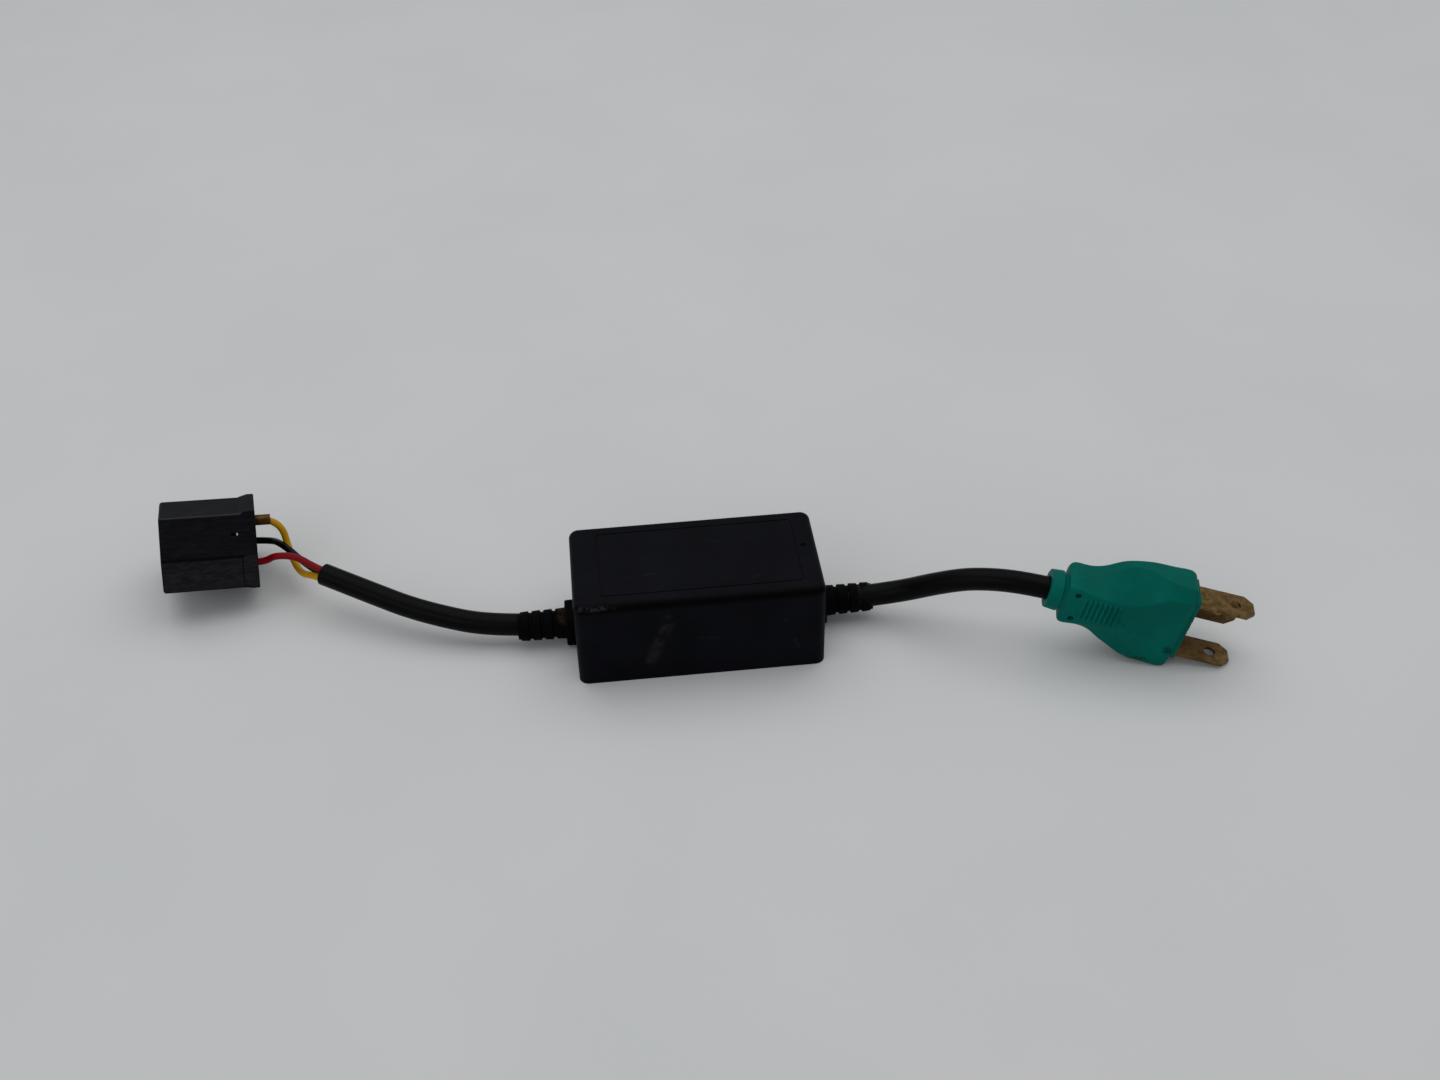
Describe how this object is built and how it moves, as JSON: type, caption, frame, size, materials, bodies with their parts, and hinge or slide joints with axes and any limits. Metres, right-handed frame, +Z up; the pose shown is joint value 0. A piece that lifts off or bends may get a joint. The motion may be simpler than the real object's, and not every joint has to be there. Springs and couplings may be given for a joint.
{
  "type": "in-line lamp harness module",
  "caption": "Small black in-line electronics box with a cable to a three-way lamp socket on one side and a cable to a green three-blade plug on the other.",
  "frame": {"origin": "bottom centre of the case", "axes": "+X along the case toward the plug, +Y toward the case's far long side, +Z up through the case roof"},
  "size_m": [0.2852, 0.0847, 0.0276],
  "materials": {
    "case_plastic": "satin black moulded plastic",
    "cover_plastic": "matt black moulded plastic",
    "gland_rubber": "matt black rubber",
    "cable_jacket": "satin black cable jacket",
    "wire_yellow": "semi-gloss insulation",
    "wire_black": "semi-gloss insulation",
    "wire_red": "semi-gloss insulation",
    "socket_plastic": "satin black moulded plastic",
    "terminal_brass": "dull tarnished",
    "plug_plastic": "satin teal green moulded plastic",
    "blade_brass": "tarnished",
    "board_laminate": "solder mask",
    "screw_steel": "zinc plated",
    "capacitor_can": "sleeved can",
    "resistor_ceramic": "ceramic case",
    "ferrite": "matt ferrite",
    "component_epoxy": "moulded epoxy"
  },
  "bodies": {
    "root": {"base_cover": "cover_plastic", "blade_centre": "blade_brass", "blade_lower": "blade_brass", "blade_upper": "blade_brass", "board_lead_left_1": "wire_yellow", "board_lead_left_2": "wire_black", "board_lead_left_3": "wire_red", "board_lead_right_1": "wire_yellow", "board_lead_right_2": "wire_black", "board_lead_right_3": "wire_red", "board_screw_1": "screw_steel", "board_screw_2": "screw_steel", "board_screw_3": "screw_steel", "board_screw_4": "screw_steel", "cable_jacket_left": "cable_jacket", "cable_jacket_right": "cable_jacket", "capacitor_1": "capacitor_can", "capacitor_2": "capacitor_can", "case_shell": "case_plastic", "circuit_board": "board_laminate", "controller_chip": "component_epoxy", "diode_1": "component_epoxy", "diode_2": "component_epoxy", "gland_left": "gland_rubber", "gland_right": "gland_rubber", "inductor": "ferrite", "plug_body": "plug_plastic", "power_resistor_1": "resistor_ceramic", "power_resistor_2": "resistor_ceramic", "power_transistor_1": "component_epoxy", "power_transistor_2": "component_epoxy", "socket_housing": "socket_plastic", "terminal_front": "terminal_brass", "terminal_rear": "terminal_brass", "terminal_upper": "terminal_brass", "wire_black": "wire_black", "wire_red": "wire_red", "wire_yellow": "wire_yellow"}
  },
  "joints": []
}
